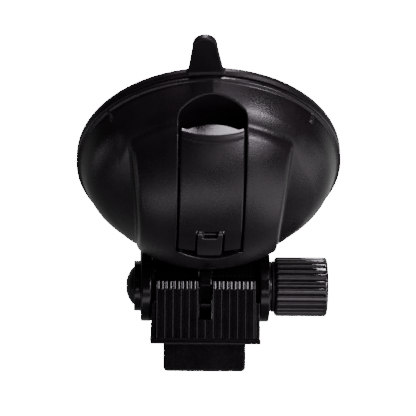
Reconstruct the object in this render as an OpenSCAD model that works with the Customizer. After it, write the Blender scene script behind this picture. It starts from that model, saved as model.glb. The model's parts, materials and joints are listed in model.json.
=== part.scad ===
// Windscreen suction mount for a dash camera: a rubber pad under a domed cover with a
// lock lever, and a tilting shoe bracket on a bolt and thumb knob.
// The origin is the centre of the pad's suction face. +X is to the right, +Y points from
// the cabin towards the glass, and +Z is up. Lengths are in millimetres.
// The cup has its own axes: x, u (up along the glass) and n (out of the glass).

/* [Glass] */
// Angle between the glass and the horizontal
glass_rake = 38; // [36:1:40]

/* [Suction pad] */
// Radius of the rubber pad
pad_r = 35; // [34.8:0.1:35.2]
// Thickness of the pad at its rim
pad_t = 2.4; // [2.2:0.1:2.5]
// Reach of the pull tab from the pad's centre
tab_reach = 48.5; // [44:0.5:52]
// Width of the pull tab at the rim
tab_w = 9; // [7:0.5:11]
// Turn of the pad in the cover, which moves the tab sideways
tab_turn = 3; // [0:0.5:6]

/* [Cover] */
// Radius of the ball that the cover's skin follows
ball_r = 35.7; // [35.5:0.1:35.9]
// Wall thickness of the cover
wall = 2; // [1.6:0.1:2.2]
// Radius of the flatter cap beside the central band
cap_r = 60; // [56:1:66]
// Height of the shoulder where the cap meets the ball
shoulder_n = 11.8; // [11.4:0.1:12.2]
// Width of the central band at the shoulder
band_w = 41; // [40:0.5:42]
// Plan radius of the central band's ends
band_end_r = 28.9; // [28.5:0.1:29.3]
// Width of the lever slot
slot_w = 17.3; // [17.2:0.1:17.6]

/* [Lever and stem] */
// Width of the lever
lever_w = 16.4; // [16:0.1:16.5]
// Thickness of the lever's blade at its middle
lever_t = 2.4; // [2.2:0.1:2.8]
// Height of the pin above the glass with the lever locked
pin_n = 23.4; // [23.2:0.1:23.6]
// Diameter of the pin
pin_d = 3; // [2.6:0.1:3.2]
// Distance from the pin to the cam plates with the lever locked
cam_h = 6.6; // [6.4:0.1:6.8]
// Fall of the stem when the lever opens
cam_lift = 2.4; // [2:0.1:2.4]
// Swing of the lever
lever_swing = 90; // [80:5:90]

/* [Tilt joint] */
// Place of the bolt along the glass
hinge_u = -38.1; // [-38.5:0.1:-37.9]
// Height of the bolt above the glass
hinge_n = 15; // [14.8:0.1:15.4]
// Radius of the ears' round ends
ear_r = 9.4; // [9:0.1:9.6]
// Thickness of each ear
ear_t = 3.5; // [3:0.1:4]
// Distance from the centre to the inner face of an ear
ear_in = 14.6; // [14.4:0.1:14.8]
// Thickness of the middle prong
prong_t = 3.1; // [2.6:0.1:3.2]
// Diameter of the bolt
bolt_d = 5; // [4:0.5:5]

/* [Bracket] */
// Radius of the knuckles
knuckle_r = 7.4; // [7:0.1:7.5]
// Width of the ribbed face
face_w = 27.2; // [26.6:0.1:27.4]
// Depth from the bolt's axis to the ribbed face
face_y = 10.8; // [10.5:0.1:11.5]
// Height of the ribbed face above the bolt's axis
face_top = 1.8; // [1.5:0.1:2.2]
// Drop from the bolt's axis to the shoe's flange
face_drop = 13.9; // [13.5:0.1:14.5]
// Number of grooves in the ribbed face
grooves = 12; // [8:2:14]

/* [Shoe] */
// Width of the flange
flange_w = 29.8; // [29.4:0.1:31]
// Thickness of the flange
flange_t = 1.4; // [1.2:0.1:2]
// Width of the tongue that the camera slides onto
tongue_w = 22.8; // [20:0.1:23]
// Length of the tongue below the flange
tongue_l = 8.1; // [7:0.1:10]
// Thickness of the tongue
tongue_t = 3; // [2.4:0.1:3.4]

/* [Knob] */
// Radius over the knob's ridges
knob_r = 8.1; // [7:0.1:9]
// Length of the knob
knob_l = 13.9; // [12:0.1:15]
// Number of ridges
ridges = 24; // [18:1:30]

/* [Hidden] */
$fn = 96;
far = 60;           // reach of a cutter that only has to pass the part
fit = 0.05;         // radial clearance of a running fit
gap = 0.02;         // clearance between faces that rub

// Pad and stem
dish_r = 24;                    // the sealing ring runs from here to the rim
dish_t = 1.2;                   // rubber over the vacuum chamber
boss_r = 11.6;                  // rubber boss round the stem's foot
foot_r = 9;
foot_n = pad_t + dish_t;        // underside of the foot
disc_t = 0.6;                   // steel disc bonded into the boss
foot_top = foot_n + 1.4;
stem_r = 3.2;
eye_w = 6.6;
pin_u = -1.5;                   // the pin stands a little below the pad's centre
eye_low = 16.5;                 // the shaft widens into the eye here
eye_top = 28;
knuckle_lever_r = 4.4;
blade_u = 1.2;                  // the blade starts here, above the knuckles
fork_u = 3.9;                   // the gap for the eye ends here

// Cover
shoulder_r = 30.4;              // plan radius of the shoulder
ball_n = shoulder_n - sqrt(pow(ball_r, 2) - pow(shoulder_r, 2));
cap_n = shoulder_n - sqrt(pow(cap_r, 2) - pow(shoulder_r, 2));
draft = 0.175;                  // sideways lean of the band's walls for each mm of height
lip_r = 34.9;
lip_t = 1.4;
trough_n = 7;                   // lowest point of the finger trough
trough_r = 12.35;
trough_end = 12;                // the trough runs from here out to the wall
tray_t = 1.5;
tray_top = 14;
skirt_n = 18;                   // the slot's side walls reach down to here
slot_end_r = 13.5;              // round lower end of the slot
slot_end_u = -8.9;
boss_ring = 25.5;               // places of the four cover screws
boss_turn = [40, 140, 220, 320];
screw_r = 1.2;

// Base
plate_r = 31.2;
plate_n = 2.6;
plate_top = 4.6;
hub_r = 13.8;
pocket_r = 8.3;
pocket_n = 6;
ceiling_n = 10.4;
hub_top = 13.4;
bush_r = 4.6;
arm_u = 25;                     // the arms leave the cover outside this distance
arm_top = 8.6;
arm_end = -45.4;
seat_n = pin_n - cam_h - gap;   // top of the cam plates
seat_t = 0.8;
seat_in = 3.9;
seat_out = 8.9;
seat_low_u = -7;
seat_high_u = 4;

// Tilt joint, in the cup's plane and then in the world's
hinge_y = -cos(glass_rake) * hinge_u - sin(glass_rake) * hinge_n;
hinge_z = sin(glass_rake) * hinge_u - cos(glass_rake) * hinge_n;
ear_out = ear_in + ear_t;
prong_r = ear_r - 0.8;
bolt_r = bolt_d / 2;
collar_r = 7.1;
collar_t = 1.3;                 // boss on the left ear, under the bolt's head
neck = bolt_d + 0.3;            // square neck of the bolt
head_r = 5.35;
head_h = 2.2;
washer_t = 0.85;
knuckle_out = ear_in - washer_t - 0.1;
knuckle_in = prong_t / 2 + 0.35;
bush_out = 4;
knob_x = 19;                    // inner end of the knob
knob_washer_t = 0.8;
bolt_end = knob_x + 9;
insert_l = 10.5;
insert_r = 3.6;

// Bracket and shoe
crown_r = 2;
back_y = 5.5;
groove_w = 1.05;
groove_d = 0.5;
slot_z = -7.2;                  // floor of the bracket's middle slot
cheek_top = -7.4;
cheek_y = -6.4;
shoe_screw_x = 12.9;
shoe_screw_y = [-7.5, 2.5];
shoe_screw_r = 0.9;
spine_w = 14;

// A point of the cam's outline, for a support distance that falls evenly as the lever opens.
function cam_point(t) =
    let (h = cam_h - cam_lift * t / lever_swing, a = -90 - t)
    let (slope = cam_lift / (lever_swing * PI / 180))
    [h * cos(a) - slope * sin(a), h * sin(a) + slope * cos(a)];

// The cup's axes, seen from the world's
module cup() { rotate([180 - glass_rake, 0, 0]) children(); }
// Extrudes an outline drawn in (u, n), or in (y, z), across x
module across(w, x = 0) {
    translate([x, 0, 0]) rotate([90, 0, 90]) linear_extrude(w, center = true) children();
}
// Extrudes an outline drawn in (x, n) from u = a to u = b
module along_u(a, b) { translate([0, b, 0]) rotate([90, 0, 0]) linear_extrude(b - a) children(); }
// A rod or tube across x from a to b
module rod(r, a, b, bore = 0) {
    translate([a, 0, 0]) rotate([0, 90, 0]) difference() {
        cylinder(r = r, h = b - a);
        if (bore > 0) translate([0, 0, -1]) cylinder(r = bore, h = b - a + 2);
    }
}
module tube(r_out, r_in, low, high) {
    translate([0, 0, low]) difference() {
        cylinder(r = r_out, h = high - low);
        translate([0, 0, -1]) cylinder(r = r_in, h = high - low + 2);
    }
}
module disc(r, low, high) { translate([0, 0, low]) cylinder(r = r, h = high - low); }
module at_hinge() { translate([0, hinge_y, hinge_z]) children(); }

// Suction pad
module suction_pad() {
    color("#141416") cup() rotate([0, 0, tab_turn]) union() {
        rotate_extrude() polygon([
            [0, foot_n - dish_t], [dish_r * 0.45, foot_n - dish_t], [dish_r, 0],
            [pad_r - 0.4, 0], [pad_r, 0.4], [pad_r, pad_t - 0.4], [pad_r - 0.4, pad_t],
            [boss_r + 0.3, pad_t], [boss_r, foot_top], [foot_r, foot_top], [foot_r, foot_n], [0, foot_n]
        ]);
        translate([0, 0, 0.4]) linear_extrude(pad_t - 0.8) pull_tab();
    }
}
module pull_tab() {
    tip_r = tab_w * 0.28;
    polygon([[-tab_w * 0.6, pad_r - 3], [tab_w * 0.6, pad_r - 3], [tab_w / 2, pad_r + 0.6],
        [tip_r + 0.5, tab_reach - tip_r], [-tip_r - 0.5, tab_reach - tip_r], [-tab_w / 2, pad_r + 0.6]]);
    translate([0, tab_reach - tip_r - 0.5]) circle(tip_r + 0.5);
}

// Cover
module dome_solid(inset, low) {
    intersection() {
        translate([0, 0, ball_n]) sphere(ball_r - inset);
        disc(ball_r + 4, low, far);
        union() {
            translate([0, 0, cap_n]) sphere(cap_r - inset);
            intersection() {
                along_u(-far, far) band_section(inset);
                disc(band_end_r - inset, low, far);
            }
        }
    }
}
module band_section(inset) {
    half = band_w / 2 - inset;
    polygon([[-half - draft * 12, 0], [half + draft * 12, 0],
        [half - draft * 20, 32], [-half + draft * 20, 32]]);
}
module slot_plan(grow) {
    intersection() {
        translate([-slot_w / 2 - grow, slot_end_u - grow]) square([slot_w + 2 * grow, far]);
        union() {
            translate([0, slot_end_u + slot_end_r]) circle(slot_end_r + grow);
            translate([-far / 2, slot_end_u + slot_end_r]) square(far);
        }
    }
}
module trough_section(grow) {
    intersection() {
        translate([-slot_w / 2 - grow, 0]) square([slot_w + 2 * grow, far]);
        union() {
            translate([0, trough_n + trough_r]) circle(trough_r + grow);
            translate([-far / 2, trough_n + trough_r]) square(far);
        }
    }
}
module slot_cutter() {
    intersection() {
        linear_extrude(far) slot_plan(0);
        union() {
            along_u(trough_end, far) trough_section(0);
            translate([-far / 2, -far / 2, tray_top]) cube([far, far / 2 + trough_end + 1, far]);
        }
    }
}
module screw_places() {
    for (a = boss_turn) translate([boss_ring * cos(a), boss_ring * sin(a), 0]) children();
}
module dome_cover() {
    color("#1c1c1e") cup() difference() {
        union() {
            difference() {
                dome_solid(0, pad_t);
                dome_solid(wall, 0);
            }
            rim_bead();
            intersection() {
                dome_solid(wall / 2, pad_t);
                union() {
                    along_u(trough_end - tray_t, far) trough_section(tray_t);
                    translate([0, 0, skirt_n]) linear_extrude(far) slot_plan(tray_t);
                    screw_places() disc(3, plate_top + 0.2, far);
                }
            }
        }
        slot_cutter();
        screw_places() disc(screw_r + fit, 0, 11.5);
        translate([-ear_out - 0.3, -far, 0]) cube([2 * ear_out + 0.6, far - arm_u, arm_top + 0.6]);
        translate([0, hinge_u, hinge_n]) rod(prong_r + 0.3, -knuckle_in, knuckle_in);
    }
}
module rim_bead() { tube(lip_r, lip_r - 1.5, pad_t, pad_t + lip_t); }

// Base
module base_frame() {
    color("#18181a") difference() {
        union() {
            cup() difference() {
                union() {
                    disc(plate_r, plate_n, plate_top);
                    hub();
                    for (s = [-1, 1]) cam_pedestal(s);
                    across(2 * ear_out) arm_root();
                    for (s = [-1, 1]) across(ear_t, s * (ear_in + ear_t / 2)) ear_outline(ear_r);
                    across(prong_t) ear_outline(prong_r);
                }
                disc(boss_r + 0.6, 0, pocket_n);
                disc(pocket_r, 0, ceiling_n);
                disc(bush_r, 0, hub_top + 1);
                screw_places() disc(screw_r + 0.3, 0, plate_top + 1);
                screw_places() disc(2.4, 0, plate_n + 1);
            }
            at_hinge() rod(collar_r, -ear_out - collar_t, -ear_out + 0.5);
        }
        at_hinge() {
            rod(bolt_r + fit, -ear_in - 1, far);
            translate([-ear_out - collar_t - 1, -neck / 2 - fit, -neck / 2 - fit])
                cube([ear_t + collar_t + 2, neck + 2 * fit, neck + 2 * fit]);
        }
    }
}
// The hub stops short of the finger trough's end wall
module hub() {
    intersection() {
        disc(hub_r, plate_n, hub_top);
        translate([-far / 2, -far, 0]) cube([far, far + trough_end - tray_t - 0.3, far]);
    }
}
module cam_pedestal(s) {
    x = s * (seat_in + seat_out) / 2;
    translate([x - (seat_out - seat_in) / 2, seat_low_u, hub_top - 0.5])
        cube([seat_out - seat_in, seat_high_u - seat_low_u, seat_n - seat_t - hub_top + 0.5]);
}
module arm_root() {
    polygon([[-24, plate_n], [-24, plate_top], [-29.5, 6.4], [-32.4, arm_top], [-34.2, 7],
        [-36.5, 6.2], [-43, 6.2], [arm_end, 4.4], [arm_end, plate_n]]);
}
// A round end on a waisted root, which leaves room for the bracket to swing under the cover
module ear_outline(r) {
    translate([hinge_u, hinge_n]) circle(r);
    polygon([[hinge_u - 4, hinge_n - 7.4], [hinge_u - 4, hinge_n - 8.5], [arm_end, plate_n],
        [-29, plate_n], [-29, 7.2], [hinge_u + 6, hinge_n - 6]]);
}
module guide_bush() {
    color("#d8d4c8") cup() tube(bush_r - 0.02, stem_r + fit, ceiling_n, hub_top);
}
module cover_screws() {
    color("#8d8f94") cup() screw_places() {
        disc(screw_r, plate_n + 0.1, 10.5);
        disc(2.3, plate_n + 0.05, plate_n + 1);
    }
}
module cam_plates() {
    color("#9a9ca0") cup() for (s = [-1, 1])
        translate([s > 0 ? seat_in : -seat_out, seat_low_u, seat_n - seat_t])
            cube([seat_out - seat_in, seat_high_u - seat_low_u, seat_t]);
}

// Tilt bolt and washers
module tilt_bolt() {
    cap_ball = (pow(head_r, 2) + pow(head_h, 2)) / (2 * head_h);
    color("#202023") at_hinge() {
        rod(bolt_r, -ear_out, bolt_end);
        translate([-ear_out - collar_t, -neck / 2, -neck / 2]) cube([ear_t + collar_t - 0.3, neck, neck]);
        intersection() {
            rod(head_r, -ear_out - collar_t - head_h - 1, -ear_out - collar_t);
            translate([-ear_out - collar_t - head_h + cap_ball, 0, 0]) sphere(cap_ball);
        }
    }
}
module friction_washer(s) {
    color("#2a2a2c") at_hinge() translate([s * (ear_in - washer_t / 2 - 0.02), 0, 0])
        rod(collar_r, -washer_t / 2, washer_t / 2, bolt_r + fit);
}
module friction_washer_left() { friction_washer(-1); }
module friction_washer_right() { friction_washer(1); }

// Stem
module pull_stem() {
    color("#26262a") cup() difference() {
        union() {
            disc(foot_r - 0.02, foot_n + disc_t, foot_top);
            disc(stem_r, foot_top - 0.2, eye_low + 1);
            across(eye_w) eye_outline();
        }
        translate([0, pin_u, pin_n]) rod(pin_d / 2, -far, far);
    }
}
module eye_outline() {
    polygon([[-2.6, eye_low], [2.6, eye_low], [3.1, pin_n - 3], [3.1, eye_top - 1.3], [1.8, eye_top],
        [-4.6, eye_top - 0.2], [-6.4, eye_top - 1.6], [-6.4, pin_n - 3]]);
}
module anchor_disc() { color("#9a9ca0") cup() disc(foot_r - 0.02, foot_n, foot_n + disc_t); }
module spring_washer() {
    color("#9a9ca0") cup() tube(pocket_r - 0.6, stem_r + 0.1, foot_top, foot_top + 0.5);
}

spring_turns = 3.5;
spring_steps = 20;              // rings in one turn
spring_ring = 8;                // sides of the wire
wire_r = 0.45;
coil_r = 5.6;
coil_low = foot_top + 0.5 + wire_r + 0.05;
coil_high = ceiling_n - wire_r - 0.05;
function spring_point(i, j) =
    let (a = 360 * i / spring_steps, b = 360 * j / spring_ring, r = coil_r + wire_r * cos(b),
        rise = (coil_high - coil_low) * i / (spring_turns * spring_steps))
    [r * cos(a), r * sin(a), coil_low + rise + wire_r * sin(b)];
module stem_spring() {
    last = spring_turns * spring_steps;
    points = [for (i = [0:last]) for (j = [0:spring_ring - 1]) spring_point(i, j)];
    sides = [for (i = [0:last - 1]) for (j = [0:spring_ring - 1])
        let (a = i * spring_ring + j, b = i * spring_ring + (j + 1) % spring_ring)
        [a, a + spring_ring, b + spring_ring, b]];
    ends = [[for (j = [0:spring_ring - 1]) j],
        [for (j = [spring_ring - 1:-1:0]) last * spring_ring + j]];
    color("#b0b2b6") cup() polyhedron(points, concat(sides, ends), convexity = 6);
}
module lever_pin() {
    color("#b0b2b6") cup() translate([0, pin_u, pin_n]) rod(pin_d / 2, -lever_w / 2, lever_w / 2);
}

// Lever
module cam_lever() {
    fork = eye_w / 2 + 0.35;
    cheek = lever_w / 2 - fork;
    color("#1c1c1e") cup() difference() {
        union() {
            intersection() {
                lever_blade();
                disc(band_end_r - 1.2, 0, far);
            }
            for (s = [-1, 1]) {
                across(cheek, s * (fork + cheek / 2)) lever_side();
                across(1.6, s * (lever_w / 2 - 0.8)) lever_rib();
            }
        }
        translate([-fork, -far / 2, 0]) cube([2 * fork, far / 2 + fork_u, far]);
        translate([0, pin_u, pin_n]) rod(pin_d / 2 + fit, -far, far);
    }
}
// The blade is a slice of the ball's skin
module lever_blade() {
    intersection() {
        translate([0, 0, ball_n]) difference() {
            sphere(ball_r);
            sphere(ball_r - lever_t);
        }
        translate([-lever_w / 2, blade_u, 0]) cube([lever_w, far, far]);
    }
}
module lever_side() {
    translate([pin_u, pin_n]) {
        intersection() {
            circle(knuckle_lever_r);
            translate([cam_lift - cam_h + 0.06, -far / 2]) square(far);
        }
        polygon(concat([for (t = [0:6:lever_swing]) cam_point(t)],
            [[-3, 3], [4, 3.4], [5.5, 1], [4.6, -4.2]]));
    }
}
module lever_rib() {
    polygon([[pin_u + 2, pin_n - 4.6], [6, 21.2], [12, 20.2], [16.5, 21.6], [12, 24.8], [4, 27], [1, 27]]);
}

// Bracket
module bracket_outline() {
    circle(knuckle_r);
    translate([crown_r - face_y, face_top - crown_r]) circle(crown_r);
    polygon([[-face_y, face_top - crown_r], [-face_y, -face_drop], [back_y, -face_drop], [back_y, -5],
        [0, 0], [-6, face_top], [crown_r - face_y, face_top]]);
}
module tilt_bracket() {
    pitch = face_w / (grooves + 0.5);
    color("#19191b") at_hinge() difference() {
        union() {
            intersection() {
                across(face_w) bracket_outline();
                union() {
                    rod(knuckle_r + 1, -knuckle_out, knuckle_out);
                    translate([-face_w / 2, -face_y, -face_drop]) cube([face_w, face_y - knuckle_r, far]);
                    translate([-face_w / 2, -face_y, -face_drop]) cube([face_w, far, face_drop - 6]);
                }
            }
            translate([-flange_w / 2 + 0.2, 0.6 - face_y, -face_drop])
                cube([flange_w - 0.4, face_y + cheek_y - 0.6, face_drop + cheek_top]);
            translate([-flange_w / 2 + 0.2, 0.6 - face_y, -face_drop])
                cube([flange_w - 0.4, face_y + back_y - 1.2, 3.6]);
        }
        translate([-knuckle_in, -face_y - 1, slot_z]) cube([2 * knuckle_in, far, far]);
        rod(ear_r - 0.4, -knuckle_in, knuckle_in);
        rod(bush_out, -far, far);
        for (i = [0:grooves - 1])
            translate([(i - (grooves - 1) / 2) * pitch - groove_w / 2, -face_y - 1, -face_drop + 0.4])
                cube([groove_w, 1 + groove_d, far]);
        for (s = [-1, 1]) translate([s * 7.4 - 3.8, 1.8 - face_y, -face_drop - 1])
            cube([7.6, face_y + back_y - 3.6, 5.4]);
        shoe_screw_places() disc(shoe_screw_r + 0.03, -face_drop - 1, -face_drop + 5);
    }
}
module shoe_screw_places() {
    for (x = [-shoe_screw_x, shoe_screw_x]) for (y = shoe_screw_y) translate([x, y, 0]) children();
}
module knuckle_bush(s) {
    color("#d8d4c8") at_hinge() translate([s * (knuckle_in + knuckle_out) / 2, 0, 0])
        rod(bush_out - 0.02, -(knuckle_out - knuckle_in) / 2, (knuckle_out - knuckle_in) / 2, bolt_r + fit);
}
module knuckle_bush_left() { knuckle_bush(-1); }
module knuckle_bush_right() { knuckle_bush(1); }
module shoe_plate() {
    low = -face_drop - flange_t;
    color("#161618") at_hinge() difference() {
        union() {
            translate([-flange_w / 2, -face_y - 0.4, low]) cube([flange_w, face_y + back_y + 0.4, flange_t]);
            translate([-tongue_w / 2, -3, low - tongue_l]) cube([tongue_w, tongue_t, tongue_l + 0.5]);
            translate([-spine_w / 2, -3, low - tongue_l]) cube([spine_w, tongue_t + 2.6, tongue_l + 0.5]);
        }
        shoe_screw_places() {
            disc(shoe_screw_r + 0.15, low - 1, 0);
            disc(1.5, low - 1, low + 0.8);
        }
    }
}
module shoe_screws() {
    low = -face_drop - flange_t;
    color("#8d8f94") at_hinge() shoe_screw_places() {
        disc(shoe_screw_r, low + 0.1, -face_drop + 4.5);
        disc(1.45, low + 0.05, low + 0.75);
    }
}

// Knob
module knob_washer() {
    color("#2a2a2c") at_hinge() rod(collar_r, knob_x - knob_washer_t - 0.02, knob_x - 0.02, bolt_r + fit);
}
module thumb_knob() {
    ridge_r = 0.55;
    color("#1f1f22") at_hinge() difference() {
        union() {
            rod(knob_r, knob_x, knob_x + knob_l - 1);
            rod(knob_r - 1, knob_x + 1, knob_x + knob_l);
        }
        for (i = [0:ridges - 1]) rotate([360 * i / ridges, 0, 0])
            translate([0, knob_r + 0.1, 0]) rod(ridge_r, knob_x - 1, knob_x + knob_l + 1);
        rod(insert_r, knob_x - 1, knob_x + insert_l + 0.1);
    }
}
module knob_insert() {
    color("#b08d4a") at_hinge() difference() {
        rod(insert_r - 0.02, knob_x, knob_x + insert_l);
        rod(bolt_r + fit, knob_x - 1, bolt_end + 0.8);
    }
}

suction_pad();
dome_cover();
base_frame();
guide_bush();
cover_screws();
cam_plates();
tilt_bolt();
friction_washer_left();
friction_washer_right();
pull_stem();
anchor_disc();
spring_washer();
stem_spring();
lever_pin();
cam_lever();
tilt_bracket();
knuckle_bush_left();
knuckle_bush_right();
shoe_plate();
shoe_screws();
knob_washer();
thumb_knob();
knob_insert();
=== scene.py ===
"""Looks of the windscreen suction mount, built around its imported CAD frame.

Most pieces are closed skins of distance fields. A field takes three arrays of places in
millimetres and gives the distance to the piece's surface, negative inside, so edges are
rounded and joins are filleted as moulded plastic is. Fields are written in the cup's axes
(x, u up along the glass, n out of the glass into the cabin) or in the hinge's axes
(x, y, z from the bolt's axis).
"""

import itertools
import json
import math

import bpy
import numpy as np
from mathutils import Matrix, Vector


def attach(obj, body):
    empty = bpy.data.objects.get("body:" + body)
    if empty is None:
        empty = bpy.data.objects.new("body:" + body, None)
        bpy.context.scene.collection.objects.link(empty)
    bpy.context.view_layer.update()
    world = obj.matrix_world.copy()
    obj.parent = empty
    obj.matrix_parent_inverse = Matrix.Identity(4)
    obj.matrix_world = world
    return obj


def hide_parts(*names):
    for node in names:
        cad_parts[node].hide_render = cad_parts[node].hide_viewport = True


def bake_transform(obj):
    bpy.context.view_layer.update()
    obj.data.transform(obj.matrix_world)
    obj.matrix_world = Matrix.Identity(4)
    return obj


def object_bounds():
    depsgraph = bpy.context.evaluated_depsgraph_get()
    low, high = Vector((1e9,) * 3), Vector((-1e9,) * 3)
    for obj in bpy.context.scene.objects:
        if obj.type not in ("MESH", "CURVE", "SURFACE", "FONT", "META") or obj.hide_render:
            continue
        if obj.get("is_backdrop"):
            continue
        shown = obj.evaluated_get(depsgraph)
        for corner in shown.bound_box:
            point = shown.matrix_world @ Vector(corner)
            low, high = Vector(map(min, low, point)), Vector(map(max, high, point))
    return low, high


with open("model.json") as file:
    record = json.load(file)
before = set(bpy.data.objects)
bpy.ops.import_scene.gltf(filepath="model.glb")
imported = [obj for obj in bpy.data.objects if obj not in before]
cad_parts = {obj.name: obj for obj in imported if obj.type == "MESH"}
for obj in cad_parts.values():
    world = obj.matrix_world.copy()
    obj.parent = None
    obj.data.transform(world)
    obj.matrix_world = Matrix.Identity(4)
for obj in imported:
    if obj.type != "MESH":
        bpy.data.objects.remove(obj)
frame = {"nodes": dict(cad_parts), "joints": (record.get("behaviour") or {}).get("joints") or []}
cad_low, cad_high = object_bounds()

MM = 0.001

# ---------------------------------------------------------------- places from the frame
joints = {joint["name"]: joint for joint in frame["joints"]}
PULL = np.array(joints["stem_pull"]["axis"], float)        # towards the glass, as the stem falls
U_AXIS = np.array([0.0, -PULL[2], PULL[1]])
N_AXIS = -PULL
HINGE = np.array(joints["tilt"]["pos_m"], float) / MM
PIN = np.array(joints["lever_lock"]["pos_m"], float) / MM
PIN_U, PIN_N = PIN @ U_AXIS, PIN @ N_AXIS
HINGE_U, HINGE_N = HINGE @ U_AXIS, HINGE @ N_AXIS


def from_cup(points):
    """Points in the cup's axes, in millimetres, as points of the frame in metres."""
    x, u, n = np.asarray(points, float).T
    return (np.outer(x, [1, 0, 0]) + np.outer(u, U_AXIS) + np.outer(n, N_AXIS)) * MM


def from_hinge(points):
    """Points from the bolt's axis, in millimetres, as points of the frame in metres."""
    return (np.asarray(points, float) + HINGE) * MM


# ---------------------------------------------------------------- distance fields
def meet(a, b, r=0.0):
    """What is inside both fields, with the edge between them rounded to radius r."""
    return np.minimum(np.maximum(a, b), -r) + np.hypot(np.maximum(a + r, 0), np.maximum(b + r, 0))


def join(a, b, r=0.0):
    """What is inside either field, with a fillet of radius r where they join."""
    return -meet(-a, -b, r)


def cut(a, b, r=0.0):
    """Field a without field b, with the new edge rounded to radius r."""
    return meet(a, -b, r)


def smooth(t):
    """Rises from 0 to 1 with soft ends as t goes from 0 to 1."""
    t = np.clip(t, 0, 1)
    return t * t * (3 - 2 * t)


def bump(t):
    """A round hump, 1 at t = 0 and nothing beyond t = 1."""
    return 1 - smooth(np.abs(t))


def block(p, low, high, r=0.0):
    """A box between two corners, with its edges rounded to radius r."""
    gaps = [np.abs(q - (a + b) / 2) - (b - a) / 2 + r for q, a, b in zip(p, low, high)]
    outside = np.sqrt(sum(np.maximum(g, 0) ** 2 for g in gaps))
    return outside + np.minimum(np.maximum.reduce(gaps), 0) - r


def slab(a, low, high):
    """What lies between two parallel planes."""
    return np.maximum(low - a, a - high)


def drum(axial, radial, low, high, radius, r=0.0):
    """A round bar from low to high along its axis."""
    return meet(slab(axial, low, high), radial - radius, r)


def outline(a, b, corners):
    """The distance in a plane to a closed outline of straight sides."""
    nearest = np.full(np.shape(a), 1e9)
    inside = np.zeros(np.shape(a), bool)
    for (a0, b0), (a1, b1) in zip(corners, corners[1:] + corners[:1]):
        da, db = a1 - a0, b1 - b0
        t = np.clip(((a - a0) * da + (b - b0) * db) / (da * da + db * db), 0, 1)
        nearest = np.minimum(nearest, (a - a0 - t * da) ** 2 + (b - b0 - t * db) ** 2)
        if db:
            inside ^= ((b0 <= b) != (b1 <= b)) & (a < a0 + (b - b0) * da / db)
    return np.where(inside, -1, 1) * np.sqrt(nearest)


# ---------------------------------------------------------------- skins of fields
CORNERS = list(itertools.product((0, 1), repeat=3))


def sample(field, axes):
    """The field's value at every point of a grid."""
    values = np.empty([len(a) for a in axes], np.float32)
    for i, x in enumerate(axes[0]):
        b, c = np.meshgrid(axes[1], axes[2], indexing="ij")
        values[i] = field(np.full(b.shape, x), b, c)
    return values


def grid_skin(values):
    """One vertex in each cell that the surface crosses, and a quad round each crossed edge."""
    size = np.array(values.shape)
    inside = values < 0
    count = sum(
        inside[i:size[0] - 1 + i, j:size[1] - 1 + j, k:size[2] - 1 + k].astype(np.int8)
        for i, j, k in CORNERS
    )
    active = (count > 0) & (count < 8)
    number = np.full(active.shape, -1)
    cells = np.argwhere(active)
    number[active] = np.arange(len(cells))
    total, hits = np.zeros((len(cells), 3)), np.zeros(len(cells))
    for a, b in itertools.combinations(CORNERS, 2):
        if sum(abs(p - q) for p, q in zip(a, b)) != 1:
            continue
        va = values[tuple((cells + a).T)]
        vb = values[tuple((cells + b).T)]
        crossed = (va < 0) != (vb < 0)
        t = (va / np.where(crossed, va - vb, 1))[crossed, None]
        total[crossed] += np.array(a) + t * (np.array(b) - np.array(a))
        hits[crossed] += 1
    points = cells + total / hits[:, None]
    quads = []
    for axis in range(3):
        step = np.eye(3, dtype=int)[axis]
        side, other = np.eye(3, dtype=int)[(axis + 1) % 3], np.eye(3, dtype=int)[(axis + 2) % 3]
        start = inside[tuple(slice(0, size[i] - step[i]) for i in range(3))]
        end = inside[tuple(slice(step[i], size[i]) for i in range(3))]
        edges = np.argwhere(start != end)
        edges = edges[(edges[:, (axis + 1) % 3] > 0) & (edges[:, (axis + 2) % 3] > 0)]
        ring = [number[tuple((edges - move).T)] for move in (0 * step, side, side + other, other)]
        outward = start[tuple(edges.T)]
        quads.append(np.where(outward[:, None], np.stack(ring, 1), np.stack(ring[::-1], 1)))
    return points, np.concatenate(quads)


def gradient(field, points, reach):
    """The field's slope at each point, measured over twice the reach."""
    columns = []
    for axis in range(3):
        move = np.eye(3)[axis] * reach
        columns.append(field(*(points + move).T) - field(*(points - move).T))
    return np.stack(columns, 1) / (2 * reach)


def settle(field, points, quads, cell):
    """Evens the vertices out along the surface and draws them onto it."""
    for _ in range(2):
        total, hits = np.zeros_like(points), np.zeros(len(points))
        for a, b in ((0, 1), (1, 2), (2, 3), (3, 0)):
            for p, q in ((a, b), (b, a)):
                for axis in range(3):
                    total[:, axis] += np.bincount(
                        quads[:, p], points[quads[:, q], axis], len(points))
                hits += np.bincount(quads[:, p], minlength=len(points))
        points = points + 0.6 * (total / hits[:, None] - points)
        for _ in range(2):
            slope = gradient(field, points, 0.02)
            length = np.maximum((slope ** 2).sum(1), 0.3)
            distance = np.clip(field(*points.T), -cell, cell)
            points = points - slope * (distance / length)[:, None]
    return points


def skin(name, field, low, high, cell, place):
    """An object with the field's surface, in place, smooth, with normals from the field."""
    axes = [np.arange(a - 2 * cell, b + 3 * cell, cell) for a, b in zip(low, high)]
    points, quads = grid_skin(sample(field, axes))
    points = np.array([a[0] for a in axes]) + points * cell
    points = settle(field, points, quads, cell)
    normals = gradient(field, points, 0.06)
    normals = place(normals) - place(np.zeros((1, 3)))
    normals /= np.maximum(np.linalg.norm(normals, axis=1), 1e-9)[:, None]
    mesh = bpy.data.meshes.new(name)
    mesh.from_pydata(place(points).tolist(), [], quads.tolist())
    mesh.polygons.foreach_set("use_smooth", np.ones(len(mesh.polygons), bool))
    mesh.normals_split_custom_set_from_vertices(normals.tolist())
    piece = bpy.data.objects.new(name, mesh)
    bpy.context.scene.collection.objects.link(piece)
    return piece


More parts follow.
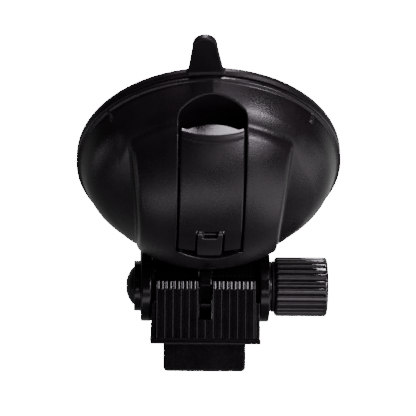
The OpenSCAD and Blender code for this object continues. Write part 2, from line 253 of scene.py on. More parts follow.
# ---------------------------------------------------------------- materials
class Nodes:
    """A material's node tree, with short calls for the nodes that every finish uses."""

    def __init__(self, name):
        self.material = bpy.data.materials.new(name)
        self.material.use_nodes = True
        self.tree = self.material.node_tree
        self.shader = self.tree.nodes["Principled BSDF"]
        self.place = self.add("ShaderNodeTexCoord").outputs["Object"]

    def add(self, kind, **settings):
        made = self.tree.nodes.new(kind)
        for key, value in settings.items():
            setattr(made, key, value)
        return made

    def feed(self, socket, value):
        if isinstance(value, bpy.types.NodeSocket):
            self.tree.links.new(value, socket)
        else:
            socket.default_value = value

    def noise(self, size, detail=2.0, rough=0.5, stretch=(1, 1, 1)):
        """Noise whose lumps are about size millimetres across."""
        mapping = self.add("ShaderNodeMapping")
        mapping.inputs["Scale"].default_value = [1 / (size * MM) * s for s in stretch]
        self.feed(mapping.inputs["Vector"], self.place)
        made = self.add("ShaderNodeTexNoise")
        self.feed(made.inputs["Vector"], mapping.outputs["Vector"])
        self.feed(made.inputs["Scale"], 1.0)
        self.feed(made.inputs["Detail"], detail)
        self.feed(made.inputs["Roughness"], rough)
        return made.outputs["Fac"]

    def ramp(self, value, low, high, to_low=0.0, to_high=1.0):
        made = self.add("ShaderNodeMapRange", clamp=True)
        for key, number in zip(("Value", "From Min", "From Max", "To Min", "To Max"),
                               (value, low, high, to_low, to_high)):
            self.feed(made.inputs[key], number)
        return made.outputs["Result"]

    def math(self, operation, a, b):
        made = self.add("ShaderNodeMath", operation=operation)
        self.feed(made.inputs[0], a)
        self.feed(made.inputs[1], b)
        return made.outputs[0]

    def mix(self, share, a, b):
        made = self.add("ShaderNodeMix", data_type="RGBA")
        self.feed(made.inputs["Factor"], share)
        self.feed(made.inputs["A"], a)
        self.feed(made.inputs["B"], b)
        return made.outputs["Result"]

    def edges(self, low=0.52, high=0.62):
        """Where the surface turns sharply outwards, which is where it wears."""
        return self.ramp(self.add("ShaderNodeNewGeometry").outputs["Pointiness"], low, high)

    def bumps(self, height, depth, strength=1.0):
        made = self.add("ShaderNodeBump")
        self.feed(made.inputs["Strength"], strength)
        self.feed(made.inputs["Distance"], depth * MM)
        self.feed(made.inputs["Height"], height)
        self.feed(self.shader.inputs["Normal"], made.outputs["Normal"])


def grey(level, warm=0.0):
    """A grey with a little red and blue in it, as black plastic has."""
    return (level * (1.12 + warm), level * 0.86, level * (1.04 + 0.6 * abs(warm)), 1.0)


def plastic(name, tone, rough, grain, depth, wear=2.2, gloss=0.5):
    """Moulded plastic: spark-eroded grain, faint flow marks, paler worn edges."""
    m = Nodes(name)
    cloud, fine = m.noise(9, 3), m.noise(grain, 3, 0.65)
    scuffs = m.ramp(m.noise(1.2, 4, 0.7), 0.66, 0.85)
    tint = m.mix(m.ramp(cloud, 0.3, 0.7), grey(tone * 0.8, 0.04), grey(tone * 1.2, 0.08))
    tint = m.mix(m.math("MULTIPLY", m.ramp(fine, 0.62, 0.8), 0.35), tint, grey(tone * 2.0))
    worn = m.math("MULTIPLY", m.edges(), m.ramp(m.noise(1.4), 0.35, 0.75))
    m.feed(m.shader.inputs["Base Color"], m.mix(worn, tint, grey(tone * wear)))
    even = m.ramp(cloud, 0.25, 0.75, rough - 0.04, rough + 0.05)
    even = m.math("ADD", even, m.math("MULTIPLY", m.ramp(fine, 0.35, 0.7), 0.08))
    even = m.math("ADD", even, m.math("MULTIPLY", scuffs, 0.05))
    m.feed(m.shader.inputs["Roughness"], even)
    m.shader.inputs["Specular IOR Level"].default_value = gloss
    m.bumps(fine, depth)
    return m.material


def rubber(name, tone, rough):
    """Soft PVC: smooth, with faint dust and long pull marks."""
    m = Nodes(name)
    cloud, fine = m.noise(6, 4, 0.6), m.noise(0.5, 3)
    dust = m.ramp(m.noise(0.9, 5, 0.7), 0.66, 0.8)
    tint = m.mix(m.ramp(cloud, 0.3, 0.7), grey(tone * 0.8, 0.05), grey(tone * 1.3, 0.05))
    tint = m.mix(m.math("MULTIPLY", dust, 0.25), tint, grey(tone * 4))
    m.feed(m.shader.inputs["Base Color"], m.mix(m.edges(), tint, grey(tone * 2)))
    m.feed(m.shader.inputs["Roughness"], m.ramp(cloud, 0.25, 0.75, rough - 0.05, rough + 0.07))
    m.shader.inputs["Specular IOR Level"].default_value = 0.3
    m.bumps(m.math("ADD", fine, m.noise(3.0)), 0.03)
    return m.material


def metal(name, colour, rough, brushed=1.0):
    """Turned or pressed metal with fine tool marks and duller patches."""
    m = Nodes(name)
    cloud, marks = m.noise(2.5, 4, 0.6), m.noise(0.25, 2, 0.5, (1, 0.1, 1))
    dull = [c * 0.6 for c in colour] + [1.0]
    tint = m.mix(m.ramp(cloud, 0.35, 0.7), dull, list(colour) + [1.0])
    bright = [min(1.0, c * 1.3) for c in colour] + [1.0]
    m.feed(m.shader.inputs["Base Color"], m.mix(m.edges(), tint, bright))
    m.feed(m.shader.inputs["Roughness"], m.ramp(marks, 0.3, 0.7, rough - 0.06, rough + 0.08))
    m.shader.inputs["Metallic"].default_value = 1.0
    m.bumps(marks, 0.01 * brushed)
    return m.material


FINISHES = {
    "soft_rubber": rubber("soft_rubber", 0.006, 0.36),
    "spark_textured_plastic": plastic("spark_textured_plastic", 0.006, 0.26, 0.42, 0.045),
    "moulded_plastic": plastic("moulded_plastic", 0.003, 0.15, 0.5, 0.006, gloss=0.4),
    "glossy_plastic": plastic("glossy_plastic", 0.006, 0.16, 0.6, 0.006, gloss=1.0),
    "acetal": plastic("acetal", 0.60, 0.35, 0.5, 0.01, wear=1.05),
    "washer_rubber": rubber("washer_rubber", 0.011, 0.5),
    "black_steel": metal("black_steel", (0.035, 0.035, 0.038), 0.38),
    "zinc_steel": metal("zinc_steel", (0.58, 0.59, 0.61), 0.32),
    "spring_steel": metal("spring_steel", (0.45, 0.45, 0.46), 0.28),
    "brass": metal("brass", (0.72, 0.52, 0.24), 0.30),
}


def fit_out(piece, body, slot, *nodes):
    """The piece rides on the body in place of the CAD nodes, with the slot's finish."""
    piece.data.materials.clear()
    piece.data.materials.append(FINISHES[slot])
    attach(piece, body)
    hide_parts(*nodes)
    return piece


# ---------------------------------------------------------------- sizes, in millimetres
# _R is a radius, _T a thickness, _HALF half a width, and _U and _N are places on the cup's axes.
FAR = 60.0                      # a distance outside every piece
PAD_R, PAD_TOP_R, PAD_T = 35.0, 36.0, 2.4
HOLE_R, BOSS_R, RING_RADII = 12.2, 11.9, (26.5, 29.0, 31.5)
TAB_REACH, TAB_W, TAB_TURN = 48.5, 9.0, math.radians(3)
BALL_R, CAP_R, WALL = 35.7, 60.0, 2.0
SHOULDER_R, SHOULDER_N = 30.4, 11.8
BALL_N = SHOULDER_N - math.sqrt(BALL_R ** 2 - SHOULDER_R ** 2)
CAP_N = SHOULDER_N - math.sqrt(CAP_R ** 2 - SHOULDER_R ** 2)
BAND_HALF, BAND_FLARE, BAND_END_R, DRAFT = 20.08, 0.0436, 28.9, 0.15
LUG_N = 1.6
SLOT_HALF, SLOT_END_U, SLOT_END_R = 8.65, -8.9, 13.5
TROUGH_N, TROUGH_R, TROUGH_END, TRAY_TOP, TRAY_T = 7.0, 12.35, 12.0, 14.0, 1.5
SKIRT_N = 18.0
BOSS_RING, BOSS_TURNS = 25.5, (40, 140, 220, 320)
BOSS_PLACES = [
    (BOSS_RING * math.cos(math.radians(turn)), BOSS_RING * math.sin(math.radians(turn)))
    for turn in BOSS_TURNS]
PLATE_N, PLATE_TOP, PLATE_R, FOOT_U, PIN_BOSS_R = 2.6, 4.6, 31.2, -45.4, 6.9
LEVER_HALF, LEVER_T, LEVER_END_U, FORK_HALF = 8.2, 2.4, 27.75, 3.65
EAR_IN, EAR_OUT, EAR_R, PRONG_HALF, PRONG_R = 14.6, 17.5, 9.7, 1.7, 10.3
KNUCKLE_R, EYE_END_U = 6.0, -8.1


# ---------------------------------------------------------------- suction pad
def pull_tab(x, u, n):
    """The tab is turned a little in the pad's plane; its tip is round."""
    a = x * math.cos(TAB_TURN) + u * math.sin(TAB_TURN)
    b = u * math.cos(TAB_TURN) - x * math.sin(TAB_TURN)
    tip = TAB_W * 0.28 + 0.5
    plan = outline(a, b, [
        (-TAB_W * 0.62, PAD_R - 3), (TAB_W * 0.62, PAD_R - 3), (TAB_W / 2, PAD_R + 0.6),
        (tip, TAB_REACH - tip), (-tip, TAB_REACH - tip), (-TAB_W / 2, PAD_R + 0.6)])
    plan = join(plan, np.hypot(a, b - TAB_REACH + tip) - tip, 0.4)
    crown = 0.2 * bump(a / 5) * smooth((b - PAD_R) / 4)
    return meet(plan, slab(n, 0.35, 2.05 + crown), 0.5)


def pad_rim(x, u, n):
    """The fixed ring of the pad, with its sealing rings and tab, drawn out a little at the top."""
    radius = np.hypot(x, np.where(u > 0, u * PAD_R / PAD_TOP_R, u))
    profile = outline(radius, n, [
        (13.3, 1.05), (17, 0.8), (24, 0.0), (34.2, 0.0), (34.9, 0.7), (34.9, 1.7), (34.3, PAD_T),
        (HOLE_R, PAD_T), (HOLE_R, 2.2)])
    rings = sum(0.22 * bump((radius - r) / 0.8) for r in RING_RADII) * bump(n / 1.2)
    lip = 0.12 * bump((n - 0.35) / 0.5) * smooth((radius - 33) / 1.5)
    return join(profile + rings - lip, pull_tab(x, u, n), 0.5)


def pad_boss(x, u, n):
    """The middle of the pad, which the stem carries."""
    radius = np.hypot(x, u)
    profile = outline(radius, n, [
        (0, PAD_T), (BOSS_R - 1.1, PAD_T), (BOSS_R, 1.9), (BOSS_R, PAD_T + 0.2), (BOSS_R - 0.3, 5.0),
        (9.0, 5.0), (9.0, 3.6), (0, 3.6)])
    return profile - 0.1 * bump((radius - 6) / 0.8) * bump((n - PAD_T) / 0.6)


# ---------------------------------------------------------------- cover
def turned(x, u, degrees):
    """The same places in axes turned about the cup's middle."""
    c, s = math.cos(math.radians(degrees)), math.sin(math.radians(degrees))
    return x * c + u * s, u * c - x * s


def ball(x, u, n):
    """The ball that the cover's band and the lever both lie on."""
    return np.sqrt(x * x + u * u + (n - BALL_N) ** 2) - BALL_R


def cover_face(x, u, n):
    """The outside of the cover: a ball, a flatter cap inside its shoulder, and the band."""
    cap = np.sqrt(x * x + u * u + (n - CAP_N) ** 2) - CAP_R
    side = np.abs(x) - BAND_HALF - BAND_FLARE * u - DRAFT * (12 - n)
    band = meet(side, np.hypot(x, u) - BAND_END_R, 1.0)
    edge = 0.6 + 0.7 * smooth((u + 8) / 26) + 1.0 * smooth((side - 0.5) / 3)
    keel = 0.55 * np.exp(-np.abs(x) / 4.5) * smooth((u - 28.5) / 3)
    lug = 0.4 * smooth((LUG_N - np.abs(n - 4.9)) / 0.5) * sum(
        bump(turned(x, u, turn)[1] / 0.75) * (turned(x, u, turn)[0] > 0) for turn in BOSS_TURNS[:2])
    return meet(ball(x, u, n) - keel - lug, join(cap, band, 0.6), edge)


def slot_plan(x, u):
    """The lever's slot, seen along n."""
    end = np.where(u < SLOT_END_U + SLOT_END_R,
                   np.hypot(x, u - SLOT_END_U - SLOT_END_R) - SLOT_END_R, -FAR)
    return meet(np.abs(x) - SLOT_HALF, end, 0.9)


def trough_section(x, n):
    """The finger trough, seen along u."""
    floor = np.where(n < TROUGH_N + TROUGH_R,
                     np.hypot(x, n - TROUGH_N - TROUGH_R) - TROUGH_R, -FAR)
    return meet(np.abs(x) - SLOT_HALF, floor, 0.8)


def lever_well(x, u, n):
    """What the slot and the finger trough take out of the cover."""
    trough = meet(trough_section(x, n), TROUGH_END - u, 0.6)
    tray = np.maximum(TRAY_TOP - n, u - TROUGH_END - 1)
    well = np.maximum(slot_plan(x, u), np.minimum(trough, tray))
    sweep = np.maximum(np.hypot(u - PIN_U, n - PIN_N) - KNUCKLE_R - 0.2, np.abs(x) - SLOT_HALF)
    return np.minimum(well, np.maximum(sweep, u - PIN_U))


def arm_notch(x, u, n):
    """What the frame's middle prong takes out of the cover's edge."""
    notch = meet(np.maximum(np.abs(x) - 18.4, u + 25), n - 9.2, 0.5)
    prong = np.hypot(u - HINGE_U, n - HINGE_N) - PRONG_R - 0.3
    return np.minimum(notch, np.maximum(prong, np.abs(x) - PRONG_HALF - 0.35))


def dome_cover(x, u, n):
    """The thin shell, its slot lining, screw bosses and rim bead."""
    face = cover_face(x, u, n)
    lining = join(
        np.maximum(slot_plan(x, u) - TRAY_T, SKIRT_N - n),
        np.maximum(trough_section(x, n) - TRAY_T, TROUGH_END - TRAY_T - u), 0.4)
    round_pin = np.maximum(
        np.hypot(u - PIN_U, n - PIN_N) - KNUCKLE_R - 1.3, np.abs(x) - SLOT_HALF - TRAY_T)
    lining = np.minimum(lining, np.maximum(round_pin, np.maximum(SKIRT_N - n, u - PIN_U)))
    lining = np.maximum(lining, face + WALL / 2)
    shell = join(np.maximum(face, -face - WALL), lining, 0.4)
    bore = np.full(np.shape(x), FAR)
    for a, b in BOSS_PLACES:
        radius = np.hypot(x - a, u - b)
        boss = np.maximum(np.maximum(radius - 3, PLATE_TOP + 0.2 - n), face + WALL / 2)
        shell = join(shell, boss, 0.5)
        bore = np.minimum(bore, np.maximum(radius - 1.25, n - 11.5))
    radius = np.hypot(x, u)
    bead = meet(slab(radius, 33.2, 34.9), slab(n, PAD_T, 3.85), 0.55)
    shell = join(np.maximum(shell, PAD_T + 0.02 - n), bead, 0.35)
    shell = cut(cut(shell, lever_well(x, u, n), 0.38), bore)
    return cut(shell, arm_notch(x, u, n), 0.25)


# ---------------------------------------------------------------- base, bolt and washers
def ear(u, n, radius):
    """A round end about the bolt, with its root on the plate, seen along x."""
    a, b = HINGE_U, HINGE_N
    root = outline(u, n, [
        (a - 4, b - 7.4), (a - 4, b - 8.5), (FOOT_U, PLATE_N), (-29, PLATE_N), (-29, 7.2), (a + 6, b - 6)])
    return join(np.hypot(u - a, n - b) - radius, root, 1.2)


def base_frame(x, u, n):
    """The plate and hub inside the cover, the two ears and the middle prong."""
    radius = np.hypot(x, u)
    body = drum(n, radius, PLATE_N, PLATE_TOP, PLATE_R, 0.4)
    hub = meet(drum(n, radius, PLATE_N, 13.4, 13.8, 0.5), u - 10.2, 0.3)
    body = join(body, hub, 0.8)
    seat = block((np.abs(x), u, n), (3.9, -7, 12.9), (8.9, 4, 15.98), 0.2)
    body = join(body, seat, 0.3)
    root = outline(u, n, [
        (-24, PLATE_N), (-24, PLATE_TOP), (-29.5, 6.4), (-32.4, 8.6), (-34.2, 7), (-36.5, 6.2), (-43, 6.2),
        (FOOT_U, 4.4), (FOOT_U, PLATE_N)])
    body = join(body, meet(root, np.abs(x) - EAR_OUT, 0.5), 0.6)
    y, z = u * U_AXIS[1] + n * N_AXIS[1] - HINGE[1], u * U_AXIS[2] + n * N_AXIS[2] - HINGE[2]
    body = join(body, meet(ear(u, n, EAR_R), slab(np.abs(x), EAR_IN, EAR_OUT), 0.45), 0.7)
    prong = meet(ear(u, n, PRONG_R), np.abs(x) - PRONG_HALF, 0.3)
    body = join(body, cut(prong, block((x, y, z), (-3, -12, -4.3), (3, -5.0, 0.45), 0.1), 0.2), 0.7)
    body = np.maximum(body, np.maximum(FOOT_U - u, PLATE_N - n))
    pin = np.hypot(y, z)
    body = join(body, meet(pin - PIN_BOSS_R, slab(x, -19.4, -EAR_OUT + 0.5), 0.3), 0.2)
    body = join(body, meet(pin - PIN_BOSS_R, slab(x, EAR_OUT - 0.5, 18.1), 0.3), 0.2)
    body = cut(body, np.minimum(np.maximum(radius - 12.2, n - 6), radius - 4.62), 0.1)
    body = cut(body, np.maximum(radius - 8.3, n - 10.4))
    for a, b in BOSS_PLACES:
        body = cut(body, np.hypot(x - a, u - b) - np.where(n < 3.6, 2.4, 1.5))
    return cut(body, np.maximum(pin - 2.55, -15 - x))


HEAD_R, HEAD_RISE, HEAD_SEAT, SHANK_R = 5.35, 2.2, 19.4, 2.5


def tilt_bolt(x, y, z):
    """The domed bolt with its square neck in the left ear; its head is hollowed at the middle."""
    radius = np.hypot(y, z)
    dome_r = (HEAD_R ** 2 + HEAD_RISE ** 2) / (2 * HEAD_RISE)
    dome = np.sqrt((x + HEAD_SEAT + HEAD_RISE - dome_r) ** 2 + y * y + z * z) - dome_r
    head = meet(meet(dome, radius - HEAD_R, 0.35), x + HEAD_SEAT, 0.2)
    hollow = np.sqrt((x + 24.2) ** 2 + y * y + z * z) - 2.75
    shank = drum(x, radius, -18.5, 28, SHANK_R, 0.4)
    neck = block((x, y, z), (-19.6, -2.65, -2.65), (-14.9, 2.65, 2.65), 0.3)
    return join(cut(head, hollow, 0.25), join(shank, neck, 0.1), 0.1)


def washer(centre, half, outer, inner):
    """A ring across x with soft edges and a shallow groove round its rim."""
    def field(x, y, z):
        radius = np.hypot(y, z)
        rim = outer - 0.12 * bump((x - centre) / (half * 0.5))
        return cut(meet(np.abs(x - centre) - half, radius - rim, 0.25), radius - inner, 0.1)
    return field


# ---------------------------------------------------------------- lever and stem
def cam_outline(a, b):
    """Round the pin: the cam that lifts the stem, and the arm to the blade."""
    cam = []
    for turn in range(0, 91, 6):
        reach, slope = 6.6 - 2.4 * turn / 90, 2.4 / (math.pi / 2)
        angle = math.radians(-90 - turn)
        cam.append((reach * math.cos(angle) - slope * math.sin(angle),
                    reach * math.sin(angle) + slope * math.cos(angle)))
    return outline(a, b, cam + [(-3, 3), (4, 3.4), (5.5, 1), (4.6, -4.2)])


def cam_lever(x, u, n):
    """The blade on the ball's surface, its dished end, knuckles, cams and side ribs."""
    crown = ball(x, u, n)
    across = (x / LEVER_HALF) ** 2
    line = 26.75 + 0.25 * across
    bead = 0.42 * smooth((u - line + 0.15) / 0.35)
    groove = 0.28 * bump((u - line + 0.42) / 0.42)
    top = crown - bead + groove
    lens = 0.8 * (np.hypot(x, n - 25.9) - 13.5 - 0.7 * (LEVER_END_U - u))
    pad = meet(np.maximum(top, lens), 22.4 - u + 0.35 * (15 - n), 0.8)
    blade = join(meet(top, -crown - LEVER_T, 0.3), pad, 0.8)
    blade = np.maximum(np.maximum(blade, top), np.minimum(lens, -crown - 0.45))
    blade = meet(blade, u - LEVER_END_U, 0.22)
    blade = meet(blade, np.abs(x) - LEVER_HALF, 0.5)
    blade = meet(blade, 2.0 + 0.75 * across - u, 0.35)
    a, b = u - PIN_U, n - PIN_N
    cheek = slab(np.abs(x), FORK_HALF, LEVER_HALF)
    knuckle = meet(np.maximum(np.hypot(a, b) - KNUCKLE_R, -4.14 - a), crown + 0.55, 0.5)
    sides = meet(np.minimum(cam_outline(a, b), np.maximum(knuckle, -b - 2)), cheek, 0.35)
    rib = outline(u, n, [
        (0.5, 18.8), (6, 21.2), (12, 20.2), (16.5, 21.6), (12, 24.8), (4, 27), (1, 27)])
    ribs = meet(rib, slab(np.abs(x), LEVER_HALF - 1.6, LEVER_HALF), 0.3)
    body = join(join(blade, sides, 0.25), ribs, 0.4)
    body = cut(body, np.maximum(np.abs(x) - FORK_HALF, u - 3.9), 0.25)
    return cut(body, np.hypot(a, b) - 1.55)


def pull_stem(x, u, n):
    """The eye between the lever's knuckles, the shaft and the foot."""
    eye = outline(u, n, [
        (-2.6, 16.5), (2.6, 16.5), (3.1, PIN_N - 3), (3.1, 26.7), (1.8, 28.0), (-2, 30), (EYE_END_U, 30),
        (EYE_END_U, 25.4), (-6.4, 23.6), (-6.4, PIN_N - 3)])
    eye = meet(meet(eye, ball(x, u, n) + 0.6, 0.5), np.abs(x) - 3.3, 0.4)
    eye = cut(eye, block((x, u, n), (-1.9, 0.5, 26.7), (1.9, 5, 31), 0.4), 0.4)
    radius = np.hypot(x, u)
    shaft = drum(n, radius, 4.6, 17.5, 3.2, 0.2)
    foot = drum(n, radius, 4.2, 5.0, 8.98, 0.15)
    body = join(join(eye, shaft, 0.6), foot, 0.5)
    return cut(body, np.hypot(u - PIN_U, n - PIN_N) - 1.5)


# ---------------------------------------------------------------- bracket and shoe
BARREL_R, BARREL_IN, BARREL_OUT = 7.4, 1.9, 13.65
FACE_HALF, FACE_Y, FACE_TOP, FACE_LOW, BACK_Y = 13.6, -10.8, 2.2, -13.9, 5.5
RIBS, BEVEL_Z, SLOT_Z = 12, -0.7, -8.6
RIB_PITCH = 2 * FACE_HALF / (RIBS + 0.5)
CHEEK_OUT, FILLER_OUT, BARREL_BORE_R = 14.7, 14.56, 4.0
SCREW_X, SCREW_ROWS = 12.9, (-7.5, 2.5)
FLANGE_HALF, FLANGE_T = 14.9, 1.4
TONGUE_HALF, TONGUE_L, TONGUE_T = 11.4, 8.08, 3.0


def bracket_side(y, z):
    """The bracket seen along x: the barrel round the bolt and the block under it."""
    body = outline(y, z, [
        (FACE_Y, BEVEL_Z), (FACE_Y, FACE_LOW), (BACK_Y, FACE_LOW), (BACK_Y, -5), (0, 0), (-6.2, FACE_TOP),
        (FACE_Y + 0.8, FACE_TOP), (FACE_Y + 0.28, FACE_TOP - 0.5)])
    return join(body, np.hypot(y, z) - BARREL_R, 0.5)


def tilt_bracket(x, y, z):
    """Ribbed in front with a lobed crown, slotted for the prong, hollow from below."""
    wave = np.abs((x / RIB_PITCH + 0.5) % 1 - 0.5) * 2
    ribbed = (np.abs(x) < FACE_HALF - 0.2) & (y < -4)
    crown = 1 - (1 - np.abs(2 * wave - 1)) ** 2
    rise = (0.018 + 0.09 * smooth((z - BEVEL_Z) / 0.4)) * crown
    depth = np.where(ribbed, 0.1 * smooth((0.15 - wave) / 0.13) - rise, 0)
    front = bracket_side(y, z) + depth
    face = meet(front, np.abs(x) - FACE_HALF, 0.4)
    room = np.minimum(np.abs(x) - BARREL_OUT, np.minimum(y + BARREL_R, z + 6))
    body = np.maximum(face, room)
    cheek = block((np.abs(x), y, z), (10, -10.2, FACE_LOW), (CHEEK_OUT, -6.4, -7.4), 0.35)
    sill = block((np.abs(x), y, z), (10, -10.2, FACE_LOW), (CHEEK_OUT, 4.9, -10.3), 0.35)
    filler = block((np.abs(x), y, z), (10, -10.2, FACE_LOW), (FILLER_OUT, 4.9, -4.2), 0.1)
    filler = np.maximum(filler, BARREL_R - np.hypot(y, z))
    body = join(np.minimum(body, filler), join(cheek, sill, 0.3), 0.25)
    gap = np.abs(x) - BARREL_IN
    body = cut(body, np.maximum(gap, SLOT_Z - z), 0.25)
    body = cut(body, np.maximum(gap, np.hypot(y, z) - PRONG_R - 0.3), 0.2)
    body = cut(body, np.hypot(y, z) - BARREL_BORE_R)
    pockets = block((np.abs(x), y, z), (3.6, -9, -20), (11.2, 3.7, -9.5), 0.3)
    body = cut(body, pockets, 0.2)
    for place in SCREW_ROWS:
        body = cut(body, np.maximum(np.hypot(np.abs(x) - SCREW_X, y - place) - 0.93, z + 8.9))
    return body


def shoe_plate(x, y, z):
    """The flange under the bracket, and the tongue with its spine and window behind."""
    low = FACE_LOW - FLANGE_T
    flange = block((x, y, z), (-FLANGE_HALF, FACE_Y - 0.4, low), (FLANGE_HALF, BACK_Y, FACE_LOW), 0.32)
    tongue = block(
        (x, y, z), (-TONGUE_HALF, -3, low - TONGUE_L), (TONGUE_HALF, TONGUE_T - 3, low + 0.5), 0.5)
    side, end, corner = TONGUE_HALF, low - TONGUE_L, 1.1
    plan = outline(x, z, [
        (-side, low + 0.5), (-side, end + corner), (-side + corner, end),
        (side - corner, end), (side, end + corner), (side, low + 0.5)])
    tongue = meet(tongue, plan, 0.6)
    spine = block((x, y, z), (-7, -1, low - TONGUE_L), (7, 2.6, low + 0.5), 0.5)
    window = block((x, y, z), (-4.6, 1.3, low - TONGUE_L + 1.6), (4.6, 4, low - 1.4), 0.4)
    body = join(flange, join(tongue, cut(spine, window, 0.3), 0.3), 0.5)
    for place in SCREW_ROWS:
        radius = np.hypot(np.abs(x) - SCREW_X, y - place)
        body = cut(body, radius - np.where(z < low + 0.8, 1.5, 1.05))
    return body


# ---------------------------------------------------------------- knob
KNOB_IN, KNOB_OUT, KNOB_R, RIDGES = 19.0, 33.4, 8.15, 24


def thumb_knob(x, y, z):
    """A knob with round ridges and a dished end."""
    radius, turn = np.hypot(y, z), np.arctan2(z, y)
    wave = np.abs((turn * RIDGES / (2 * math.pi)) % 1 - 0.5) * 2
    valley = 0.85 * (1 - np.sqrt(1 - 0.98 * np.maximum(0, (wave - 0.25) / 0.75) ** 2))
    rim = KNOB_R - valley * smooth((KNOB_OUT - 0.3 - x) / 1.2)
    body = meet(radius - rim, slab(x, KNOB_IN, KNOB_OUT), 0.85)
    dish = np.maximum(radius - 6.2, KNOB_OUT - 0.45 - x)
    body = cut(body, dish, 0.3)
    return cut(body, np.maximum(radius - 3.6, x - 29.6))


# ---------------------------------------------------------------- the pieces
# Each piece: name, field, lowest and highest corner in its axes, cell, body, slot, CAD nodes.
CUP_PIECES = [
    ("pad_rim", pad_rim, (-36, -36, 0), (36, 49, 2.6), 0.34, "cup", "soft_rubber", ["suction_pad"]),
    ("pad_boss", pad_boss, (-13, -13, 1.6), (13, 13, 5.2), 0.3, "stem", "soft_rubber", []),
    ("cover", dome_cover, (-35.5, -35.5, 2), (35.5, 35.5, 29.2), 0.33, "cup",
     "spark_textured_plastic", ["dome_cover"]),
    ("base", base_frame, (-31.5, -48, 2.4), (31.5, 31.5, 25), 0.4, "cup",
     "moulded_plastic", ["base_frame"]),
    ("lever", cam_lever, (-8.5, -6.5, 12), (8.5, 28.4, 29.2), 0.22, "lever",
     "spark_textured_plastic", ["cam_lever"]),
    ("stem", pull_stem, (-9.2, -9.2, 4), (9.2, 9.2, 28.3), 0.24, "stem", "glossy_plastic", ["pull_stem"]),
]
HINGE_PIECES = [
    ("bolt", tilt_bolt, (-22, -5.6, -5.6), (28.2, 5.6, 5.6), 0.22, "cup", "black_steel", ["tilt_bolt"]),
    ("washer_left", washer(-14.155, 0.425, 7.1, 2.55), (-14.8, -7.3, -7.3), (-13.5, 7.3, 7.3), 0.17,
     "cup", "washer_rubber", ["friction_washer_left"]),
    ("washer_right", washer(14.155, 0.425, 7.1, 2.55), (13.5, -7.3, -7.3), (14.8, 7.3, 7.3), 0.17,
     "cup", "washer_rubber", ["friction_washer_right"]),
    ("collar", washer(18.58, 0.4, 7.1, 2.55), (18, -7.3, -7.3), (19.2, 7.3, 7.3), 0.17,
     "knob_carrier", "washer_rubber", ["knob_washer"]),
    ("bracket", tilt_bracket, (-7 * RIB_PITCH, -11.2, -14), (7 * RIB_PITCH, 7.6, 7.6), RIB_PITCH / 15,
     "bracket", "moulded_plastic", ["tilt_bracket"]),
    ("shoe", shoe_plate, (-15, -11.4, -23.6), (15, 5.7, -13.3), 0.22, "bracket", "moulded_plastic",
     ["shoe_plate"]),
    ("knob", thumb_knob, (18.8, -8.3, -8.3), (33.7, 8.3, 8.3), 0.15, "knob", "glossy_plastic",
     ["thumb_knob"]),
]
for pieces, place in ((CUP_PIECES, from_cup), (HINGE_PIECES, from_hinge)):
    for name, field, low, high, cell, body, slot, nodes in pieces:
        fit_out(skin(name, field, low, high, cell, place), body, slot, *nodes)

HIDDEN_NODES = {
    "guide_bush": "acetal", "knuckle_bush_left": "acetal", "knuckle_bush_right": "acetal",
    "cover_screws": "zinc_steel", "shoe_screws": "zinc_steel", "cam_plates": "zinc_steel",
    "anchor_disc": "zinc_steel", "spring_washer": "zinc_steel", "lever_pin": "zinc_steel",
    "knob_insert": "brass",
}
for name, slot in HIDDEN_NODES.items():
    node = frame["nodes"][name]
    node.data.materials.clear()
    node.data.materials.append(FINISHES[slot])


def flexing_spring():
    """The stem spring: a copy of its CAD mesh with the spring steel finish, fixed in place in the frame."""
    node = frame["nodes"]["stem_spring"]
    mesh = node.data.copy()
    mesh.transform(node.matrix_world)
    piece = bpy.data.objects.new("spring", mesh)
    bpy.context.scene.collection.objects.link(piece)
    mesh.materials.clear()
    mesh.materials.append(FINISHES["spring_steel"])
    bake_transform(piece)
    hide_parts("stem_spring")


flexing_spring()


# ---------------------------------------------------------------- floor, lights and camera
WHITE, FLOOR_GLOW, BACKDROP_GLOW, LEFT_SHARE, ROOM_GLOW = 20.0, 0.04, 0.6, 0.25, 0.035
LAMP_COLOUR = (0.98, 0.9, 1.0)
LIGHTS = [       # name, azimuth, elevation, distance, (width, height), radiance
    ("key", 38, 11, 0.8, (0.16, 0.16), 30),
    ("front", 33, 0, 0.82, (0.34, 0.34), 5),
    ("fill", 8, -19, 0.8, (0.3, 0.14), 2.2),
    ("overhead", 10, 74, 0.7, (0.2, 0.2), 45),
    ("above", 14, 32, 0.8, (0.4, 0.2), 1.5),
    ("low_left", -48, -50, 0.33, (0.26, 0.1), 1.3),
    ("low_front", 6, -50, 0.33, (0.2, 0.1), 1.6),
    ("low_right", 70, -42, 0.36, (0.42, 0.2), 1.4),
    ("right_side", 98, -25, 0.7, (0.3, 0.3), 1.0),
    ("left_side", -100, -20, 0.7, (0.3, 0.15), 0.8),
]


def pale_floor():
    """A matt floor, pure white where it is seen directly, and for what it lights a dim glow, weaker at the
    left and rising towards the backdrop.
    """
    m = Nodes("pale_floor")
    m.feed(m.shader.inputs["Base Color"], m.ramp(m.noise(40, 2), 0.3, 0.7, 0.08, 0.09))
    m.shader.inputs["Roughness"].default_value = 0.9
    m.shader.inputs["Emission Color"].default_value = (1, 1, 1, 1)
    split = m.add("ShaderNodeSeparateXYZ")
    m.feed(split.inputs[0], m.place)
    # The floor's glow, which lights the object and shows in its reflections, is weaker at the left.
    side = m.ramp(split.outputs["X"], -0.4, 0.3, LEFT_SHARE, 1.0)
    glow = m.math("MULTIPLY", side, m.ramp(split.outputs["Y"], 0.15, 0.7, FLOOR_GLOW, BACKDROP_GLOW))
    seen = m.add("ShaderNodeLightPath").outputs["Is Camera Ray"]
    m.feed(m.shader.inputs["Emission Strength"], m.math("ADD", m.math("MULTIPLY", seen, WHITE), glow))
    return m.material


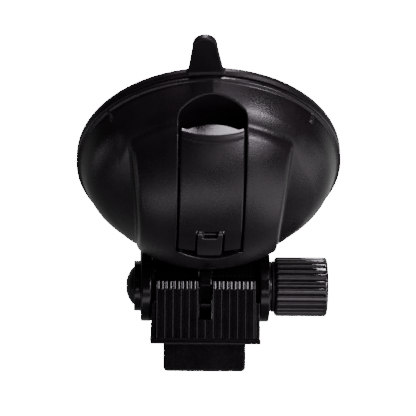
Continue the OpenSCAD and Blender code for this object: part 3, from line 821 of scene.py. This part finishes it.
def sweep():
    """A pale floor that curves up into a backdrop behind the object."""
    floor_z, back_y, curve = cad_low.z - 0.25, 0.75, 0.25
    profile = [(-1.6, floor_z), (back_y - curve, floor_z)]
    for step in range(1, 13):
        angle = math.radians(7.5 * step)
        profile.append((back_y - curve + curve * math.sin(angle), floor_z + curve * (1 - math.cos(angle))))
    profile.append((back_y, 1.4))
    mesh = bpy.data.meshes.new("floor")
    points = [(x, y, z) for y, z in profile for x in (-1.6, 1.6)]
    faces = [(2 * i, 2 * i + 1, 2 * i + 3, 2 * i + 2) for i in range(len(profile) - 1)]
    mesh.from_pydata(points, [], faces)
    mesh.polygons.foreach_set("use_smooth", [True] * len(faces))
    floor = bpy.data.objects.new("floor", mesh)
    bpy.context.scene.collection.objects.link(floor)
    mesh.materials.append(pale_floor())
    floor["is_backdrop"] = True


def dim_room():
    """The room behind the lights: dim for what it lights, white where it is seen directly."""
    world = bpy.data.worlds.new("world")
    world.use_nodes = True
    tree = world.node_tree
    background = tree.nodes["Background"]
    background.inputs["Color"].default_value = (0.97, 0.98, 1.0, 1)
    ramp = tree.nodes.new("ShaderNodeMapRange")
    ramp.inputs["To Min"].default_value = ROOM_GLOW
    ramp.inputs["To Max"].default_value = WHITE
    tree.links.new(tree.nodes.new("ShaderNodeLightPath").outputs["Is Camera Ray"], ramp.inputs["Value"])
    tree.links.new(ramp.outputs["Result"], background.inputs["Strength"])
    bpy.context.scene.world = world


def softbox(name, azimuth, elevation, distance, size, radiance):
    """A panel of light aimed at the object; azimuth 0 is in front, and positive to the right."""
    data = bpy.data.lights.new(name, "AREA")
    data.shape, data.size, data.size_y = "RECTANGLE", size[0], size[1]
    data.energy = math.pi * size[0] * size[1] * radiance
    data.color = LAMP_COLOUR
    lamp = bpy.data.objects.new(name, data)
    a, e = math.radians(azimuth), math.radians(elevation)
    place = Vector((math.sin(a) * math.cos(e), -math.cos(a) * math.cos(e), math.sin(e))) * distance
    lamp.location = (cad_low + cad_high) / 2 + place
    lamp.rotation_mode = "QUATERNION"
    lamp.rotation_quaternion = (-place).to_track_quat("-Z", "Y")
    lamp.visible_camera = False
    bpy.context.scene.collection.objects.link(lamp)


def camera():
    """In front of the mount and a little to its left, level, 620 mm from the glass."""
    data = bpy.data.cameras.new("camera")
    data.sensor_width, data.lens = 36.0, 202.5
    data.clip_start, data.clip_end = 0.01, 10.0
    distance, height = 0.62, -0.01389
    yaw, roll = math.radians(2.0), math.radians(0.48)
    ahead = Vector((math.sin(yaw), math.cos(yaw), 0))
    right = Vector((math.cos(yaw), -math.sin(yaw), 0))
    up = Vector((0, 0, 1))
    right, up = (right * math.cos(roll) + up * math.sin(roll), up * math.cos(roll) - right * math.sin(roll))
    turn = Matrix((right, up, -ahead)).transposed().to_4x4()
    made = bpy.data.objects.new("camera", data)
    made.matrix_world = Matrix.Translation(-ahead * distance + Vector((0, 0, height))) @ turn
    bpy.context.scene.collection.objects.link(made)
    bpy.context.scene.camera = made


sweep()
for light in LIGHTS:
    softbox(*light)
dim_room()
camera()

low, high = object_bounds()
{"cad": [list(cad_low), list(cad_high)], "visual": [list(low), list(high)]}
